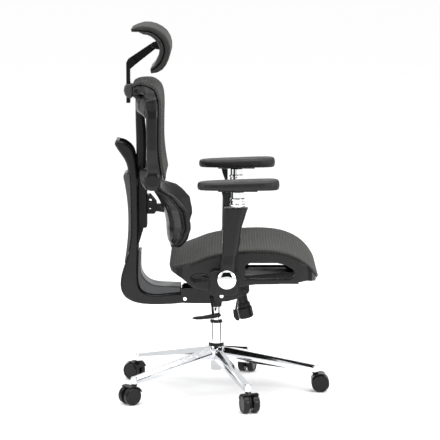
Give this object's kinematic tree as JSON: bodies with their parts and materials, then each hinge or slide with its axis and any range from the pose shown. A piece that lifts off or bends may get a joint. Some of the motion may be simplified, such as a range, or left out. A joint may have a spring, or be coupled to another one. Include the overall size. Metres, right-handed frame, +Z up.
{
  "type": "swivel office chair",
  "caption": "High-backed swivel office chair with a mesh seat and back, lumbar pad, adjustable headrest and arms, on a polished five-star base with casters.",
  "frame": {"origin": "centre of the chair's footprint on the floor; the gas column's axis stands 21.5 mm behind it", "axes": "+Z up, -Y the way the sitter faces, -X the sitter's right-hand side"},
  "size_m": [0.7038, 0.6826, 1.1787],
  "materials": {
    "polished_aluminium": "mirror polished",
    "chrome": "bright",
    "black_plastic": "fine satin grain",
    "charcoal_plastic": "fine grain, half matt",
    "grey_plastic": "smooth satin",
    "black_steel": "powder coated",
    "wheel_plastic": "smooth, half matt",
    "mesh_fabric": "open woven mesh",
    "black_leather": "fine grain",
    "black_urethane": "soft, fine grain"
  },
  "bodies": {
    "base": {"base_star": "polished_aluminium", "cylinder_tube": "chrome", "hub_ring": "black_plastic", "tube_collar": "black_plastic"},
    "lift": {"gas_piston": "chrome"},
    "mechanism": {"mechanism_housing": "black_steel", "recline_pivot_pin": "chrome", "tension_tube": "black_plastic", "seat_pivot_pin": "chrome"},
    "back": {"back_bracket": "black_steel", "spine_shell": "charcoal_plastic", "spine_rear_cover": "grey_plastic", "spine_foot_cover": "grey_plastic", "spine_bolt": "chrome"},
    "seat": {"seat_tray": "black_plastic", "seat_frame": "charcoal_plastic", "seat_mesh": "mesh_fabric", "arm_bracket_left": "charcoal_plastic", "arm_sleeve_left": "charcoal_plastic", "arm_cap_left": "chrome", "arm_bracket_right": "charcoal_plastic", "arm_sleeve_right": "charcoal_plastic", "arm_cap_right": "chrome"},
    "backrest": {"back_frame": "charcoal_plastic", "back_mesh": "mesh_fabric", "back_rail": "black_plastic", "lumbar_bracket": "black_plastic", "headrest_collar": "grey_plastic"},
    "lumbar": {"lumbar_shell": "charcoal_plastic", "lumbar_pad": "black_leather"},
    "headrest_post": {"headrest_post": "black_plastic"},
    "headrest_arm": {"headrest_arm": "black_plastic"},
    "headrest": {"headrest_shell": "charcoal_plastic", "headrest_pad": "mesh_fabric"},
    "tension_knob": {"tension_knob": "black_plastic"},
    "height_lever": {"height_lever": "black_plastic"},
    "tilt_lever": {"tilt_lever": "black_plastic"},
    "arm_post_left": {"arm_post_left": "chrome"},
    "arm_button_left": {"arm_button_left": "black_plastic"},
    "arm_swivel_left": {"arm_pad_base_left": "black_plastic"},
    "arm_pad_left": {"arm_pad_left": "black_urethane"},
    "arm_post_right": {"arm_post_right": "chrome"},
    "arm_button_right": {"arm_button_right": "black_plastic"},
    "arm_swivel_right": {"arm_pad_base_right": "black_plastic"},
    "arm_pad_right": {"arm_pad_right": "black_urethane"},
    "caster_1": {"caster_fork_1": "black_plastic"},
    "wheel_left_1": {"caster_wheel_left_1": "wheel_plastic"},
    "wheel_right_1": {"caster_wheel_right_1": "wheel_plastic"},
    "caster_2": {"caster_fork_2": "black_plastic"},
    "wheel_left_2": {"caster_wheel_left_2": "wheel_plastic"},
    "wheel_right_2": {"caster_wheel_right_2": "wheel_plastic"},
    "caster_3": {"caster_fork_3": "black_plastic"},
    "wheel_left_3": {"caster_wheel_left_3": "wheel_plastic"},
    "wheel_right_3": {"caster_wheel_right_3": "wheel_plastic"},
    "caster_4": {"caster_fork_4": "black_plastic"},
    "wheel_left_4": {"caster_wheel_left_4": "wheel_plastic"},
    "wheel_right_4": {"caster_wheel_right_4": "wheel_plastic"},
    "caster_5": {"caster_fork_5": "black_plastic"},
    "wheel_left_5": {"caster_wheel_left_5": "wheel_plastic"},
    "wheel_right_5": {"caster_wheel_right_5": "wheel_plastic"}
  },
  "joints": [
    {"name": "gas_lift", "type": "slide", "parent": "base", "child": "lift", "axis": [0, 0, 1], "range_m": [-0.04, 0.05]},
    {"name": "seat_swivel", "type": "hinge", "parent": "lift", "child": "mechanism", "pos_m": [0, 0.0215, 0.29], "axis": [0, 0, 1], "continuous": true},
    {"name": "back_recline", "type": "hinge", "parent": "mechanism", "child": "back", "pos_m": [0, 0.0045, 0.32], "axis": [-1, 0, 0], "range_deg": [0, 20], "stiffness_Nm_per_rad": 180, "springref_deg": -20.05},
    {"name": "seat_tilt", "type": "hinge", "parent": "mechanism", "child": "seat", "pos_m": [0, -0.0685, 0.336], "axis": [-1, 0, 0], "range_deg": [0, 5]},
    {"name": "back_height", "type": "slide", "parent": "back", "child": "backrest", "axis": [0, 0, 1], "range_m": [0, 0.05]},
    {"name": "lumbar_tilt", "type": "hinge", "parent": "backrest", "child": "lumbar", "pos_m": [0, 0.2185, 0.596], "axis": [1, 0, 0], "range_deg": [-6, 6], "stiffness_Nm_per_rad": 60},
    {"name": "headrest_height", "type": "slide", "parent": "backrest", "child": "headrest_post", "axis": [0, 0, 1], "range_m": [-0.02, 0.04]},
    {"name": "headrest_arm_tilt", "type": "hinge", "parent": "headrest_post", "child": "headrest_arm", "pos_m": [0, 0.2885, 1.058], "axis": [-1, 0, 0], "range_deg": [-10, 30]},
    {"name": "headrest_pad_tilt", "type": "hinge", "parent": "headrest_arm", "child": "headrest", "pos_m": [0, 0.2155, 1.111], "axis": [1, 0, 0], "range_deg": [-12, 12]},
    {"name": "arm_height_left", "type": "slide", "parent": "seat", "child": "arm_post_left", "axis": [0, -0.1289, 0.9917], "range_m": [0, 0.06]},
    {"name": "arm_button_left", "type": "slide", "parent": "arm_post_left", "child": "arm_button_left", "axis": [0, -1, 0], "range_m": [0, 0.003], "stiffness_N_per_m": 500},
    {"name": "arm_swivel_left", "type": "hinge", "parent": "arm_post_left", "child": "arm_swivel_left", "pos_m": [0.298, -0.0445, 0.688], "axis": [0, 0, 1], "range_deg": [-25, 25]},
    {"name": "arm_pad_slide_left", "type": "slide", "parent": "arm_swivel_left", "child": "arm_pad_left", "axis": [0, 1, 0], "range_m": [-0.03, 0.03]},
    {"name": "arm_height_right", "type": "slide", "parent": "seat", "child": "arm_post_right", "axis": [0, -0.1289, 0.9917], "range_m": [0, 0.06]},
    {"name": "arm_button_right", "type": "slide", "parent": "arm_post_right", "child": "arm_button_right", "axis": [0, -1, 0], "range_m": [0, 0.003], "stiffness_N_per_m": 500},
    {"name": "arm_swivel_right", "type": "hinge", "parent": "arm_post_right", "child": "arm_swivel_right", "pos_m": [-0.298, -0.0445, 0.688], "axis": [0, 0, 1], "range_deg": [-25, 25]},
    {"name": "arm_pad_slide_right", "type": "slide", "parent": "arm_swivel_right", "child": "arm_pad_right", "axis": [0, 1, 0], "range_m": [-0.03, 0.03]},
    {"name": "height_lever_lift", "type": "hinge", "parent": "mechanism", "child": "height_lever", "pos_m": [-0.06, 0.0355, 0.312], "axis": [1, 0, 0], "range_deg": [0, 8], "stiffness_Nm_per_rad": 2},
    {"name": "tilt_lever_turn", "type": "hinge", "parent": "mechanism", "child": "tilt_lever", "pos_m": [0.06, -0.0545, 0.322], "axis": [1, 0, 0], "range_deg": [0, 12]},
    {"name": "tension_turn", "type": "hinge", "parent": "mechanism", "child": "tension_knob", "pos_m": [0, -0.0575, 0.32], "axis": [0, -0.225, -0.9744], "range_deg": [-360, 360]},
    {"name": "caster_swivel_1", "type": "hinge", "parent": "base", "child": "caster_1", "pos_m": [0, -0.2955, 0.07], "axis": [0, 0, 1], "continuous": true},
    {"name": "caster_swivel_2", "type": "hinge", "parent": "base", "child": "caster_2", "pos_m": [0.30148, -0.07646, 0.07], "axis": [0, 0, 1], "continuous": true},
    {"name": "caster_swivel_3", "type": "hinge", "parent": "base", "child": "caster_3", "pos_m": [0.18633, 0.27796, 0.07], "axis": [0, 0, 1], "continuous": true},
    {"name": "caster_swivel_4", "type": "hinge", "parent": "base", "child": "caster_4", "pos_m": [-0.18633, 0.27796, 0.07], "axis": [0, 0, 1], "continuous": true},
    {"name": "caster_swivel_5", "type": "hinge", "parent": "base", "child": "caster_5", "pos_m": [-0.30148, -0.07646, 0.07], "axis": [0, 0, 1], "continuous": true},
    {"name": "wheel_roll_left_1", "type": "hinge", "parent": "caster_1", "child": "wheel_left_1", "pos_m": [0, -0.3125, 0.029], "axis": [1, 0, 0], "continuous": true},
    {"name": "wheel_roll_right_1", "type": "hinge", "parent": "caster_1", "child": "wheel_right_1", "pos_m": [0, -0.3125, 0.029], "axis": [1, 0, 0], "continuous": true},
    {"name": "wheel_roll_left_2", "type": "hinge", "parent": "caster_2", "child": "wheel_left_2", "pos_m": [0.31765, -0.08171, 0.029], "axis": [0.309, 0.9511, 0], "continuous": true},
    {"name": "wheel_roll_right_2", "type": "hinge", "parent": "caster_2", "child": "wheel_right_2", "pos_m": [0.31765, -0.08171, 0.029], "axis": [0.309, 0.9511, 0], "continuous": true},
    {"name": "wheel_roll_left_3", "type": "hinge", "parent": "caster_3", "child": "wheel_left_3", "pos_m": [0.19632, 0.29171, 0.029], "axis": [-0.809, 0.5878, 0], "continuous": true},
    {"name": "wheel_roll_right_3", "type": "hinge", "parent": "caster_3", "child": "wheel_right_3", "pos_m": [0.19632, 0.29171, 0.029], "axis": [-0.809, 0.5878, 0], "continuous": true},
    {"name": "wheel_roll_left_4", "type": "hinge", "parent": "caster_4", "child": "wheel_left_4", "pos_m": [-0.19632, 0.29171, 0.029], "axis": [-0.809, -0.5878, 0], "continuous": true},
    {"name": "wheel_roll_right_4", "type": "hinge", "parent": "caster_4", "child": "wheel_right_4", "pos_m": [-0.19632, 0.29171, 0.029], "axis": [-0.809, -0.5878, 0], "continuous": true},
    {"name": "wheel_roll_left_5", "type": "hinge", "parent": "caster_5", "child": "wheel_left_5", "pos_m": [-0.31765, -0.08171, 0.029], "axis": [0.309, -0.9511, 0], "continuous": true},
    {"name": "wheel_roll_right_5", "type": "hinge", "parent": "caster_5", "child": "wheel_right_5", "pos_m": [-0.31765, -0.08171, 0.029], "axis": [0.309, -0.9511, 0], "continuous": true}
  ],
  "couplings": [
    {"joint": "seat_tilt", "follows": "back_recline", "ratio": 0.25}
  ]
}
